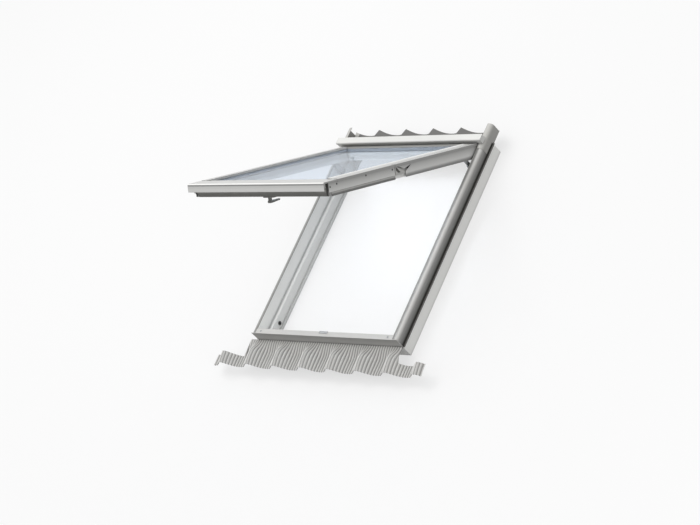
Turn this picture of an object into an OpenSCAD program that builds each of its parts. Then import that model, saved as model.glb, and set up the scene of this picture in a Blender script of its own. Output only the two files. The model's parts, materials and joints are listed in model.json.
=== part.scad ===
// Top-hung roof window with its flashing, lying flat.
// X runs across the window, Y up the slope and Z outward. The sash is drawn shut
// and then swung open about its top hinge.

/* [Frame] */
// Outer width of the frame
frame_w = 780; // [660:5:1140]
// Outer length of the frame, up the slope
frame_l = 978; // [900:1:1400]
// Depth of the frame rails, without their covers
frame_h = 113; // [108:1:130]
// Thickness of the frame walls beside the sash
wall_t = 19; // [16:0.5:24]
// Width of the side ledges that the shut sash closes on
ledge_w = 19; // [18:0.5:26]
// Height of the ledges above the underside
ledge_h = 58; // [40:1:58]
// Thickness of the head rail
head_t = 31; // [24:1:34]
// Thickness of the sill's front wall
sill_t = 20.5; // [14:0.5:22]
// Width of the sill's ledge
sill_ledge_w = 34; // [28:1:36]
// Width of the groove round the inside of the frame
groove_w = 12; // [8:1:16]
// Depth of the groove round the inside of the frame
groove_d = 7; // [4:1:9]

/* [Frame covers] */
// Thickness of the frame's aluminium covers
cover_t = 2; // [1.5:0.1:2.5]
// Distance that the side covers stand out past the frame
cover_out = 4.5; // [4:0.1:8]
// Outer corner radius of the side covers
cover_r = 16; // [8:1:18]
// Height of the side covers' outer walls
cover_drop = 40; // [30:1:48]
// Height of the bottom cover's front face
front_drop = 53; // [46:1:56]

/* [Sash] */
// Total thickness of the sash
sash_h = 59.5; // [57:0.5:60]
// Height of the sash's top face above the frame covers
sash_rise = 7; // [6:0.5:9]
// Width of the sash rails and stiles, seen from inside
rail_w = 45; // [40:1:52]
// Length of the bottom rail, up the slope
bottom_rail_l = 60; // [52:1:80]
// Length of the top rail, up the slope
top_rail_l = 58; // [48:1:70]
// Width of the step that the glass unit lies on
rebate_w = 22; // [16:1:26]
// Thickness of the sash's covers
skin_t = 2.5; // [1.5:0.1:3]
// Height of the front cover's face
face_h = 34; // [28:1:40]
// Height of the lip along the sash's top edges
lip_h = 9; // [6:0.5:11]
// Height of the side covers' skirts
skirt_h = 43; // [36:1:46]
// Height of the finger-wide bevel under the bottom rail
bevel_h = 17; // [8:1:24]
// Thickness of each pane
pane_t = 4; // [3:0.5:6]
// Width of the gas space between the panes
gas_t = 12; // [10:1:14]
// Angle that the sash stands open
open_angle = 45; // [10:1:45]

/* [Hinge and pivot] */
// Distance of the hinge axis below the frame's top end
hinge_drop = 50.5; // [46:0.5:52]
// Distance of the hinge axis below the sash's top face
hinge_deep = 15.5; // [14:0.5:16]
// Length of the arms, from the hinge to the centre pivot
arm_len = 452; // [380:1:470]
// Width of the arms
arm_w = 26; // [20:1:26]
// Thickness of the arms
arm_t = 3.5; // [2.5:0.1:4]
// Radius of the hinge studs
hinge_r = 5; // [4:0.5:6]
// Radius of the centre pivot pins
pivot_r = 6; // [5:0.5:7]
// Length of the stays, which is also their distance from the hinge
stay_len = 90; // [70:1:110]
// Thickness of the stays
stay_t = 3; // [2:0.1:3.2]
// Radius of the stays' pins
stay_r = 4; // [3:0.5:5]

/* [Hood] */
// Depth of the hood, up the slope
hood_d = 30; // [26:1:36]
// Height of the hood's front lip
hood_lip = 17; // [12:1:20]
// Height of the hood's top above the sash
hood_rise = 21; // [20:1:30]

/* [Handle] */
// Length of the handle base
base_l = 62; // [50:1:80]
// Reach of the lever from its spindle
lever_l = 52; // [36:1:110]

/* [Flashing] */
// Thickness of the flashing sheet
sheet_t = 1.2; // [0.8:0.1:1.6]
// Reach of the apron below the frame
apron_reach = 126; // [110:1:180]
// Reach of the apron past each side of the frame
apron_over = 181; // [120:1:220]
// Distance of the apron's middle to the left of the frame's
apron_shift = 20; // [0:1:40]
// Reach of the head flashing above the frame
head_reach = 84; // [64:1:110]
// Width of one wave of the apron, from ridge to ridge
tile_pitch = 150.5; // [120:0.5:200]
// Height of the apron's wave
wave_h = 28; // [16:1:32]
// Width of one pleat
pleat_w = 12.5; // [12:0.5:20]
// Height of one pleat
pleat_h = 4.5; // [1:0.5:6]

/* [Hidden] */

$fn = 48;
// Overlap that lets joined shapes share volume
bond = 0.5;
// Clearance between pieces that rest near each other
seat = 0.3;
// Running clearance of a pin in its bore
run_gap = 0.05;
// Clearance between pieces that slide past each other
slip = 0.5;
// Room that a cutting shape takes past the surface it cuts
past = 1;

// Frame
half_w = frame_w / 2;
half_l = frame_l / 2;
wall_x = half_w - wall_t;
ledge_x = wall_x - ledge_w;
head_y = half_l - head_t;
cover_top = frame_h + cover_t;
front_y = -half_l + 0.5;
sill_y = front_y + cover_t;
sill_in = sill_y + sill_t;
sill_ledge_y = sill_in + sill_ledge_w;
groove_z = 12;
stile_r = min(cover_r - cover_t, wall_t - 1);

// Side layers between the frame wall and the sash, from outside to inside
side_gap = 2.5;
lip_t = 2.5;
skirt_t = 2;
lip_x = wall_x - side_gap;
skirt_x = lip_x - lip_t;
stay_x = skirt_x - skirt_t - slip - stay_t;
web_t = 3;
web_x = stay_x - slip - web_t;
arm_x = web_x - slip - arm_t;
arm_gap = 3;
sash_x = arm_x - arm_gap;
day_x = sash_x - rail_w;
pocket_x = day_x + rebate_w;
edge_gap = 2;
glass_x = pocket_x - edge_gap;
cover_in_x = sash_x + 1.5;
// Distance that the covers lap over the edges of the glass
cover_lap = 8;
cover_edge_x = glass_x - cover_lap;
// Rise of the side covers towards the glass
crown = 4;

// Sash levels and ends, drawn shut
sash_top = cover_top + sash_rise;
sash_under = sash_top - sash_h;
body_top = sash_top - skin_t;
gasket_t = 2;
outer_z = body_top - gasket_t - pane_t;
gas_z = outer_z - gas_t;
inner_z = gas_z - pane_t;
face_y = front_y - 2 - skin_t;
rail_y = sill_in + 6;
day_low = rail_y + bottom_rail_l;
top_gap = 9.5;
sash_end = head_y - top_gap;
day_high = sash_end - top_rail_l;
pocket_low = day_low - rebate_w;
pocket_high = day_high + rebate_w;
front_plate_end = pocket_low + edge_gap + cover_lap;
top_cover_low = pocket_high - edge_gap - cover_lap;
bevel_l = 10;
// Bevel round the lower edge of the daylight opening
day_bevel = 9;

// Hinge, pivot and stays
hinge_y = half_l - hinge_drop;
hinge_z = sash_top - hinge_deep;
pivot_y = hinge_y - arm_len;
pivot_clear = 68;
lower_end = pivot_y - pivot_clear;
arm_cover_end = lower_end + 4;
stay_y = hinge_y - stay_len;
slot_near = 2 * stay_len * cos(open_angle);
slot_far = 2 * stay_len;
skirt_front = sill_in + side_gap;
boss_r = 12;
boss_t = 4.5;
pin_head_r = 12;
pin_head_t = 2;
// Corners of the block in front of the pivot, from the pivot
pivot_block = [[-64, sash_top - skirt_h - hinge_z], [-64, 6], [-60, 6], [-20, -14], [-11, -20],
    [-11, sash_top - skirt_h - hinge_z]];
// Corners of the arm cover's lower end round the pivot, from the pivot
arm_cut = [[-5.5, sash_under - hinge_z], [-5.5, -23], [34, 2], [-10, -10], [-52, 7]];

bush_in = 14;
bush_wall = 4;
screw_r = 2;
screw_head_r = 3.5;
screw_head_t = 1.5;
// Places of the side screws along the skirt, as shares of its length, and their depths below the sash's top
screw_shares = [0.02, 0.12, 0.56, 0.965];
screw_deeps = [23, 17, 14, 18];
side_screw_places = [for (i = [0:len(screw_shares) - 1])
    [skirt_front + screw_shares[i] * (lower_end - skirt_front), sash_top - screw_deeps[i]]];

// Strip of rubber on the ledges, near the frame walls
gasket_w = 5;
gasket_inset = 1;
gasket_x = wall_x - gasket_inset - gasket_w;
gasket_top = sash_under - slip;
gasket_foot = 1.5;
gasket_web = 1.2;
gasket_r = 2;
gasket_y = sill_in + 12;

// Feet of the stay brackets
stay_foot_l = 36;
stay_foot_t = 2.5;
stay_web_w = 22;

// Bush in the left ledge
bush_r = 7;
bush_l = 16;
bush_end = ledge_x + bush_l;
bush_up = 44;
bush_y = sill_ledge_y + bush_up;
bush_z = 34;

// Hood
hood_y = hinge_y + 8.5;
hood_back = hood_y + hood_d;
hood_top = sash_top + hood_rise;
hood_x = half_w + cover_out - 0.5;
hood_t = 2;
hood_r = 6;
cap_x = lip_x + 0.7;

// Flashing
plate_z = cover_top - front_drop;
leg_x = half_w + cover_out + seat + sheet_t;
leg_top = cover_top + seat + sheet_t;
leg_start = hinge_y - 13.5;
leg_end = half_l + head_reach - 24;
scallop_deep = 30;
scallop_tip = 4;
// Share of a scallop's width at which it is deepest
scallop_low = 0.8;
scallop_steps = 14;
foot_w = 10;
foot_rise = 6;
// Distance of the wave's ridges below the frame covers
tile_deep = 38;
tile_z = cover_top - tile_deep;
apron_top_y = front_y - 0.8;
apron_end_y = -half_l - apron_reach;
apron_half = half_w + apron_over;
// The apron is wide under the frame and narrow past its sides
apron_neck = half_w + cover_out + 18;
wing_drop = 74;
wing_run = 14;
apron_t = 1.6;
apron_z = plate_z + seat + apron_t;
apron_toe = 6;
// Distance in which the apron comes down to its full wave, and its arch over the ridges
bed_l = 58;
apron_arch = 9;
// Sideways place of the nearest ridge, whose left flank is the steeper
ridge_x = 68;
ridge_power = 2;
ridge_lean = 22;
// Distance of the head flashing's middle scallop to the left of the nearest ridge
scallop_shift = 35;
scallop_x = ridge_x - scallop_shift;
// Points of the apron, across and down
apron_columns = 2 * round(apron_half * 2 / pleat_w);
apron_rows = 10;

// Fixing brackets
bracket_in = 60;
bracket_x = wall_x - bracket_in;
bracket_w = 70;
bracket_t = 3;
bracket_leg = 40;
bracket_z = plate_z - cover_t - bracket_leg;
bracket_foot = 45;
bracket_hole_r = 3.5;
bracket_pitch = 40;

// Handle
base_w = 26;
base_t = 9;
neck_r = 8;
neck_h = 12;
lever_t = 11;
lever_w = 17;
handle_y = sill_ledge_y + 6 + base_w / 2;

// The middle of the frame lies up the slope and to the right of the middle of the whole part
frame_mid = (apron_reach - head_reach) / 2;
frame_side = apron_shift;

white = [0.90, 0.90, 0.89];
light_grey = [0.78, 0.78, 0.77];
mid_grey = [0.55, 0.55, 0.54];
dark_grey = [0.38, 0.38, 0.37];
lead_grey = [0.60, 0.60, 0.59];
steel = [0.66, 0.67, 0.68];
rubber = [0.12, 0.12, 0.12];
glass_blue = [0.80, 0.87, 0.92, 0.35];

// Moves a shape from the frame's middle to the part's origin
module placed() {
    translate([frame_side, frame_mid, 0]) children();
}

// Swings a shape open about the hinge axis
module opened() {
    placed() translate([0, hinge_y, hinge_z]) rotate([-open_angle, 0, 0])
        translate([0, -hinge_y, -hinge_z]) children();
}

// Gives the left-hand copy of a right-hand shape
module hand(left) {
    if (left) mirror([1, 0, 0]) children();
    else children();
}

// Runs an X-Z section up the slope, from y0 to y1
module up_slope(y0, y1) {
    translate([0, y1, 0]) rotate([90, 0, 0]) linear_extrude(y1 - y0) children();
}

// Runs a Y-Z section across the window, from x0 to x1
module across(x0, x1) {
    translate([x0, 0, 0]) rotate([90, 0, 90]) linear_extrude(x1 - x0) children();
}

// Box between two corners
module block(low, high) {
    translate(low) cube(high - low);
}

// Rectangle between two corners
module plate(low, high) {
    translate(low) square(high - low);
}

// Rectangle with its upper right corner rounded
module round_corner(low, high, r) {
    plate(low, [high[0] - r, high[1]]);
    plate(low, [high[0], high[1] - r]);
    translate(high - [r, r]) intersection() {
        circle(r);
        square(r);
    }
}

// Round bar along X
module bar_x(x0, x1, y, z, r) {
    translate([x0, y, z]) rotate([0, 90, 0]) cylinder(r = r, h = x1 - x0);
}

// Round-cornered cover section over the outer top corner of a side rail
module corner_shell(x1, z0, z1, r, t) {
    difference() {
        round_corner([wall_x + 0.5, z0], [x1, z1], r);
        round_corner([wall_x - past, z0 - past], [x1 - t, z1 - t], r - t);
    }
}

// Frame rails

module frame_head() {
    color(white) placed() across(-wall_x, wall_x) difference() {
        plate([head_y, 0], [half_l, frame_h]);
        plate([head_y - past, groove_z], [head_y + groove_d, groove_z + groove_w]);
    }
}

module frame_sill() {
    color(white) placed() across(-wall_x, wall_x) difference() {
        union() {
            plate([sill_y, 0], [sill_in, frame_h]);
            plate([sill_in - bond, 0], [sill_ledge_y, ledge_h]);
        }
        plate([sill_ledge_y - groove_d, groove_z], [sill_ledge_y + past, groove_z + groove_w]);
    }
}

module frame_stile(left) {
    color(white) placed() hand(left) difference() {
        union() {
            up_slope(sill_y, half_l) round_corner([wall_x, 0], [half_w, frame_h], stile_r);
            up_slope(sill_ledge_y, head_y) difference() {
                plate([ledge_x, 0], [wall_x + bond, ledge_h]);
                plate([ledge_x - past, groove_z], [ledge_x + groove_d, groove_z + groove_w]);
            }
        }
        if (left) bar_x(ledge_x - past, bush_end, bush_y, bush_z, bush_r);
    }
}

module frame_stile_left() { frame_stile(true); }
module frame_stile_right() { frame_stile(false); }

// Rubber strip on the ledges: a foot, a thin web and a bead
module gasket_section() {
    plate([0, ledge_h], [gasket_w, ledge_h + gasket_foot]);
    plate([(gasket_w - gasket_web) / 2, ledge_h], [(gasket_w + gasket_web) / 2, gasket_top - gasket_r]);
    translate([gasket_w / 2, gasket_top - gasket_r]) circle(gasket_r);
}

module frame_gasket() {
    color(rubber) placed() {
        across(-gasket_x - gasket_w, gasket_x + gasket_w) translate([gasket_y, 0]) gasket_section();
        for (left = [true, false]) hand(left)
            up_slope(gasket_y, stay_y - stay_foot_l / 2 - side_gap) translate([gasket_x, 0]) gasket_section();
    }
}

// Frame covers

module side_cover(left) {
    color(light_grey) placed() hand(left) up_slope(sill_y + 0.2, half_l - 1)
        corner_shell(half_w + cover_out, cover_top - cover_drop, cover_top, cover_r, cover_t);
}

module side_cover_left() { side_cover(true); }
module side_cover_right() { side_cover(false); }

module bottom_cover() {
    color(mid_grey) placed() {
        across(-wall_x - 0.3, wall_x + 0.3)
            plate([front_y, frame_h], [sill_in, cover_top]);
        across(-half_w - cover_out, half_w + cover_out) {
            plate([front_y, plate_z - cover_t], [sill_y, cover_top]);
            plate([front_y - apron_toe, plate_z - cover_t], [sill_y, plate_z]);
        }
    }
}

module hood() {
    color(light_grey) placed() {
        across(-hood_x, hood_x) hood_shell(hood_top - hood_r - hood_t);
        across(-lip_x, lip_x) hood_shell(hood_top - hood_lip);
        across(1 - wall_x, wall_x - 1) plate([hood_back - hood_t, frame_h], [hood_back, hood_top - bond]);
    }
}

// Hood section that turns down at the front to the level z
module hood_shell(z) {
    difference() {
        mirror([1, 0]) round_corner([-hood_back, z], [-hood_y, hood_top], hood_r);
        mirror([1, 0]) round_corner([-hood_back - past, z - past], [-hood_y - hood_t, hood_top - hood_t],
            hood_r - hood_t);
    }
}

module hood_cap(left) {
    foot = leg_top + seat;
    cap_top = hood_top - hood_t;
    cap_t = 2;
    color(light_grey) placed() hand(left) difference() {
        across(cap_x, hood_x - 1) mirror([1, 0])
            round_corner([-hood_back + hood_t + seat, foot], [-hood_y - hood_t, cap_top], hood_r - hood_t);
        block([cap_x + cap_t, hood_y + hood_t + 2 * cap_t, foot - past],
            [hood_x - 1 - cap_t, hood_back - 2 * cap_t, cap_top - cap_t]);
    }
}

module hood_cap_left() { hood_cap(true); }
module hood_cap_right() { hood_cap(false); }

// Fittings on the frame

module hinge_plate(left) {
    plate_t = 2;
    plate_l = 46;
    plate_deep = 30;
    hole_r = 2.2;
    color(steel) placed() hand(left) {
        across(wall_x - plate_t, wall_x) difference() {
            plate([hinge_y - plate_l, hinge_z - plate_deep], [hinge_y + 12, frame_h]);
            for (y = [plate_l - 8, plate_l / 2])
                translate([hinge_y - y, hinge_z - plate_deep * 2 / 3]) circle(hole_r);
        }
        bar_x(arm_x, wall_x - plate_t + bond, hinge_y, hinge_z, hinge_r);
    }
}

module hinge_plate_left() { hinge_plate(true); }
module hinge_plate_right() { hinge_plate(false); }

module stay_bracket(left) {
    foot = stay_foot_l / 2;
    web = stay_web_w / 2;
    color(steel) placed() hand(left) {
        block([web_x, stay_y - foot, ledge_h], [wall_x, stay_y + foot, ledge_h + stay_foot_t]);
        block([web_x, stay_y - web, ledge_h], [web_x + web_t, stay_y + web, hinge_z]);
        bar_x(web_x, web_x + web_t, stay_y, hinge_z, web);
        bar_x(web_x, stay_x + stay_t, stay_y, hinge_z, stay_r);
    }
}

module stay_bracket_left() { stay_bracket(true); }
module stay_bracket_right() { stay_bracket(false); }

module striker_plate() {
    striker_t = 1.5;
    striker_x = 22;
    color(steel) placed() {
        block([-striker_x, sill_in, frame_h - 34], [striker_x, sill_in + striker_t, cover_top + striker_t]);
        block([-striker_x, sill_in - 9, cover_top], [striker_x, sill_in + bond, cover_top + striker_t]);
    }
}

module cover_screws() {
    corner_gap = 26;
    color(steel) placed() for (x = [-1, 1])
        translate([x * (wall_x - corner_gap), (front_y + sill_in) / 2, cover_top]) cylinder(r = 4, h = 1.6);
}

// Bush in the left ledge, which takes the bolt that holds the sash for cleaning
module bolt_bush() {
    color(dark_grey) placed() hand(true) difference() {
        union() {
            bar_x(ledge_x, bush_end, bush_y, bush_z, bush_r - run_gap);
            bar_x(ledge_x - 1.5, ledge_x, bush_y, bush_z, bush_r + 2);
        }
        bar_x(ledge_x - 2 * past, bush_end - 2, bush_y, bush_z, 4.5);
    }
}

// Angle bracket on the outer face of the head or sill, drawn for the head
module fixing_bracket(left, y, turn) {
    color(steel) placed() hand(left) translate([bracket_x, y, 0]) rotate([0, 0, turn]) difference() {
        across(-bracket_w / 2, bracket_w / 2) {
            plate([0, bracket_z], [bracket_t, bracket_z + bracket_leg]);
            plate([0, bracket_z], [bracket_foot, bracket_z + bracket_t]);
        }
        for (x = [-1, 1]) translate([x * bracket_pitch / 2, bracket_foot * 0.6, bracket_z - past])
            cylinder(r = bracket_hole_r, h = bracket_t + 2 * past);
        for (x = [-1, 1]) translate([x * bracket_pitch / 2, -past, bracket_z + bracket_leg * 0.6])
            rotate([-90, 0, 0]) cylinder(r = 2.5, h = bracket_t + 2 * past);
    }
}

module bracket_top_left() { fixing_bracket(true, half_l, 0); }
module bracket_top_right() { fixing_bracket(false, half_l, 0); }
module bracket_bottom_left() { fixing_bracket(true, sill_y, 180); }
module bracket_bottom_right() { fixing_bracket(false, sill_y, 180); }

// Flashing

// Depth of a scallop, as a share, at the share s of its width: a long flank and then a steep one
function scallop(s) = s < scallop_low ? sin(90 * s / scallop_low)
    : sqrt(1 - pow((s - scallop_low) / (1 - scallop_low), 4));

// Cut of one rounded scallop in the head flashing's edge
module scallop_cut() {
    w = tile_pitch - scallop_tip;
    edge = [for (i = [0:scallop_steps]) let (s = i / scallop_steps) [s * w, -scallop_deep * scallop(s)]];
    polygon(concat(edge, [[w, past], [0, past]]));
}

module head_flashing() {
    back = half_l + seat;
    edge_y = half_l + head_reach;
    inside = sheet_t / 2;
    tiles = ceil(leg_x / tile_pitch) + 1;
    color(dark_grey) placed() {
        block([-wall_x, back, plate_z - sheet_t], [wall_x, back + sheet_t, frame_h - 4]);
        translate([0, 0, plate_z - sheet_t]) linear_extrude(sheet_t) difference() {
            plate([inside - leg_x, back + inside], [leg_x - inside, edge_y]);
            for (i = [-tiles:tiles])
                translate([scallop_x + i * tile_pitch + scallop_tip / 2, edge_y]) scallop_cut();
        }
        for (left = [true, false]) hand(left) {
            up_slope(leg_start, leg_end)
                corner_shell(leg_x, cover_top - cover_drop, leg_top, cover_r + seat + sheet_t, sheet_t);
            up_slope(back, leg_end)
                corner_shell(leg_x, plate_z - inside, leg_top, cover_r + seat + sheet_t, sheet_t);
        }
    }
}

module side_flashing(left) {
    wall = half_w + seat;
    color(dark_grey) placed() hand(left) up_slope(sill_y + 0.2, half_l - 1) {
        plate([wall, plate_z - sheet_t], [wall + sheet_t, cover_top - cover_r]);
        plate([wall, plate_z - sheet_t], [wall + foot_w, plate_z]);
        plate([wall + foot_w - sheet_t, plate_z - sheet_t], [wall + foot_w, plate_z + foot_rise]);
    }
}

module side_flashing_left() { side_flashing(true); }
module side_flashing_right() { side_flashing(false); }

// Upper edge of the apron, which steps down past the sides of the frame
function apron_top(x) =
    apron_top_y - wing_drop * ease(max(0, min(1, (abs(x + apron_shift) - apron_neck) / wing_run)));

// Share of the wave's height at x: rounded ridges and broad troughs
function ridge(x) =
    let (a = 360 * (x - ridge_x) / tile_pitch)
    pow((1 + cos(a - ridge_lean * (1 - cos(a)))) / 2, ridge_power);

function ease(t) = t * t * (3 - 2 * t);

// Point of the apron at column i and row j, at the depth d under its upper face
function apron_point(i, j, d) =
    let (x = -apron_shift - apron_half + 2 * apron_half * i / apron_columns,
        y = apron_top(x) + (apron_end_y - apron_top(x)) * j / apron_rows,
        down = max(0, front_y - apron_toe - y),
        bed = ease(min(1, down / bed_l)),
        arch = apron_arch * sin(180 * min(1, down / apron_reach)),
        tile = tile_z - wave_h + (wave_h + arch) * ridge(x),
        fold = i % 2 == 0 ? pleat_h : 0)
    [x, y, apron_z * (1 - bed) + tile * bed + fold - d];

module pleated_apron() {
    n = apron_columns + 1;
    m = apron_rows + 1;
    points = [for (d = [0, apron_t], j = [0:m - 1], i = [0:n - 1]) apron_point(i, j, d)];
    function at(s, j, i) = (s * m + j) * n + i;
    upper = [for (j = [0:m - 2], i = [0:n - 2]) each [
        [at(0, j, i), at(0, j, i + 1), at(0, j + 1, i)],
        [at(0, j, i + 1), at(0, j + 1, i + 1), at(0, j + 1, i)]]];
    lower = [for (j = [0:m - 2], i = [0:n - 2]) each [
        [at(1, j, i), at(1, j + 1, i), at(1, j, i + 1)],
        [at(1, j, i + 1), at(1, j + 1, i), at(1, j + 1, i + 1)]]];
    long_edges = [for (i = [0:n - 2]) each [
        [at(0, 0, i), at(1, 0, i), at(0, 0, i + 1)],
        [at(0, 0, i + 1), at(1, 0, i), at(1, 0, i + 1)],
        [at(0, m - 1, i), at(0, m - 1, i + 1), at(1, m - 1, i)],
        [at(0, m - 1, i + 1), at(1, m - 1, i + 1), at(1, m - 1, i)]]];
    short_edges = [for (j = [0:m - 2]) each [
        [at(0, j, 0), at(0, j + 1, 0), at(1, j, 0)],
        [at(0, j + 1, 0), at(1, j + 1, 0), at(1, j, 0)],
        [at(0, j, n - 1), at(1, j, n - 1), at(0, j + 1, n - 1)],
        [at(0, j + 1, n - 1), at(1, j, n - 1), at(1, j + 1, n - 1)]]];
    color(lead_grey) placed() polyhedron(points, concat(upper, lower, long_edges, short_edges));
}

// Arms between the top hinge and the centre pivot

module arm(left) {
    r = arm_w / 2;
    color(steel) opened() hand(left) difference() {
        union() {
            block([arm_x, pivot_y, hinge_z - r], [arm_x + arm_t, hinge_y, hinge_z + r]);
            for (y = [pivot_y, hinge_y]) bar_x(arm_x, arm_x + arm_t, y, hinge_z, r);
        }
        bar_x(arm_x - past, arm_x + arm_t + past, hinge_y, hinge_z, hinge_r + run_gap);
        bar_x(arm_x - past, arm_x + arm_t + past, pivot_y, hinge_z, pivot_r + run_gap);
        for (s = [slot_near, slot_far])
            bar_x(arm_x - past, arm_x + arm_t + past, hinge_y - s, hinge_z, stay_r + slip / 2);
        block([arm_x - past, hinge_y - slot_far, hinge_z - stay_r - slip / 2],
            [arm_x + arm_t + past, hinge_y - slot_near, hinge_z + stay_r + slip / 2]);
    }
}

module arm_left() { arm(true); }
module arm_right() { arm(false); }

// Lip along the outer edge of the sash's top face
module lip_section(x0) {
    plate([x0, body_top], [lip_x, sash_top]);
    plate([skirt_x, sash_top - lip_h], [lip_x, sash_top]);
}

module arm_cover(left) {
    color(light_grey) opened() hand(left) difference() {
        union() {
            up_slope(arm_cover_end, sash_end) lip_section(cover_in_x);
            across(skirt_x - skirt_t, skirt_x) polygon(concat(
                [for (corner = arm_cut) [pivot_y, hinge_z] + corner],
                [[pivot_y + arm_cut[4][0], sash_top - bond],
                    [sash_end, sash_top - bond], [sash_end, sash_under]]));
        }
        bar_x(skirt_x - 2 * skirt_t, lip_x, hinge_y, hinge_z, hinge_r + slip);
    }
}

module arm_cover_left() { arm_cover(true); }
module arm_cover_right() { arm_cover(false); }

module pivot_housing(left) {
    color(light_grey) opened() hand(left) translate([0, pivot_y, hinge_z]) difference() {
        union() {
            across(arm_x + arm_t, skirt_x) polygon(pivot_block);
            bar_x(arm_x + arm_t, arm_x + arm_t + boss_t, 0, 0, boss_r);
            block([arm_x + arm_t, -boss_r - bond, -boss_r], [arm_x + arm_t + boss_t, 0, 0]);
            block([arm_x + arm_t, pivot_block[0][0], -boss_r], [arm_x + arm_t + boss_t, 0, -boss_r / 2]);
        }
        bar_x(arm_x, skirt_x + past, 0, 0, pivot_r + run_gap);
    }
}

module pivot_housing_left() { pivot_housing(true); }
module pivot_housing_right() { pivot_housing(false); }

module pivot_pin(left) {
    seat_x = arm_x + arm_t + boss_t;
    color(steel) opened() hand(left) {
        bar_x(sash_x - bush_in, seat_x + bond, pivot_y, hinge_z, pivot_r);
        bar_x(seat_x, seat_x + pin_head_t, pivot_y, hinge_z, pin_head_r);
    }
}

module pivot_pin_left() { pivot_pin(true); }
module pivot_pin_right() { pivot_pin(false); }

// Stay from the bracket to the slot of the arm. It turns twice as far as the arm does
module stay(left) {
    r = 9;
    rise = 2 * open_angle;
    color(steel) placed() hand(left) translate([0, stay_y, hinge_z]) rotate([-rise, 0, 0]) difference() {
        union() {
            block([stay_x, -stay_len, -r], [stay_x + stay_t, 0, r]);
            for (y = [-stay_len, 0]) bar_x(stay_x, stay_x + stay_t, y, 0, r);
            bar_x(arm_x, stay_x + bond, -stay_len, 0, stay_r);
        }
        bar_x(stay_x - past, stay_x + stay_t + past, 0, 0, stay_r + run_gap);
    }
}

module stay_left() { stay(true); }
module stay_right() { stay(false); }

// Sash rails

// Room for the glass unit and the daylight opening
module glass_room() {
    block([-pocket_x, pocket_low, inner_z - 0.5], [pocket_x, pocket_high, sash_top]);
    block([-day_x, day_low, sash_under - past], [day_x, day_high, sash_top]);
    hull() {
        block([-day_x, day_low, sash_under + day_bevel], [day_x, day_high, sash_top]);
        block([-day_x - day_bevel, day_low - day_bevel, sash_under - past],
            [day_x + day_bevel, day_high + day_bevel, sash_under]);
    }
}

module sash_top_rail() {
    color(white) opened() difference() {
        block([-sash_x, day_high, sash_under], [sash_x, sash_end, body_top]);
        glass_room();
    }
}

module sash_bottom_rail() {
    color(white) opened() difference() {
        across(-sash_x, sash_x) polygon([[rail_y, sash_under + bevel_h], [rail_y + bevel_l, sash_under],
            [day_low, sash_under], [day_low, body_top], [rail_y, body_top]]);
        glass_room();
    }
}

module sash_stile(left) {
    cheek_x = skirt_x - skirt_t;
    color(white) opened() hand(left) difference() {
        union() {
            block([day_x, day_low, sash_under], [sash_x, day_high, body_top]);
            across(sash_x, cheek_x) polygon([[rail_y, sash_under + bevel_h], [rail_y + bevel_l, sash_under],
                [lower_end, sash_under], [lower_end, body_top], [rail_y, body_top]]);
            block([sash_x - bond, day_low, sash_under], [sash_x + bond, lower_end, body_top]);
        }
        glass_room();
        bar_x(sash_x - bush_in, sash_x + past, pivot_y, hinge_z, pivot_r + bush_wall + run_gap);
    }
}

module sash_stile_left() { sash_stile(true); }
module sash_stile_right() { sash_stile(false); }

module pivot_bush(left) {
    color(steel) opened() hand(left) difference() {
        bar_x(sash_x - bush_in, sash_x, pivot_y, hinge_z, pivot_r + bush_wall);
        bar_x(sash_x - bush_in - past, sash_x + past, pivot_y, hinge_z, pivot_r + run_gap);
    }
}

module pivot_bush_left() { pivot_bush(true); }
module pivot_bush_right() { pivot_bush(false); }

// Sash covers

module front_cover() {
    edge_r = 5;
    groove_top = sash_top - edge_r - 1;
    over_frame = cover_top + 1;
    color(light_grey) opened() {
        across(-lip_x, lip_x) difference() {
            mirror([1, 0]) round_corner([-front_plate_end, sash_top - face_h], [-face_y, sash_top], edge_r);
            mirror([1, 0]) round_corner([-front_plate_end - past, sash_top - face_h - past],
                [-face_y - skin_t, body_top], edge_r - skin_t);
            plate([face_y - past, groove_top - 3], [face_y + skin_t / 2, groove_top]);
        }
        for (left = [true, false]) hand(left)
            block([skirt_x, face_y + skin_t - bond, over_frame], [lip_x, front_plate_end, body_top + bond]);
    }
}

// Part of the side covers that rises towards the glass
module crown_section() {
    polygon([[cover_edge_x, body_top], [sash_x, body_top], [sash_x, sash_top],
        [cover_edge_x, sash_top + crown]]);
}

module sash_cover(left) {
    color(light_grey) opened() hand(left) difference() {
        union() {
            up_slope(front_plate_end, lower_end) {
                crown_section();
                lip_section(sash_x - bond);
                plate([skirt_x - skirt_t, sash_top - skirt_h], [skirt_x, sash_top - bond]);
            }
            up_slope(skirt_front, front_plate_end + bond)
                plate([skirt_x - skirt_t, sash_top - skirt_h], [skirt_x, body_top]);
        }
        for (s = side_screw_places) bar_x(skirt_x - skirt_t - past, skirt_x + past, s[0], s[1], screw_r);
    }
}

module sash_cover_left() { sash_cover(true); }
module sash_cover_right() { sash_cover(false); }

// Screws through the skirts of the lower side covers
module side_screws() {
    color(dark_grey) opened() for (left = [true, false], s = side_screw_places) hand(left) {
        bar_x(skirt_x - skirt_t, skirt_x, s[0], s[1], screw_r - run_gap);
        bar_x(skirt_x, skirt_x + screw_head_t, s[0], s[1], screw_head_r);
    }
}

module upper_cover(left) {
    color(light_grey) opened() hand(left) up_slope(lower_end, top_cover_low) crown_section();
}

module upper_cover_left() { upper_cover(true); }
module upper_cover_right() { upper_cover(false); }

module top_cover() {
    color(light_grey) opened() block([-sash_x, top_cover_low, body_top], [sash_x, sash_end, sash_top]);
}

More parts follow.
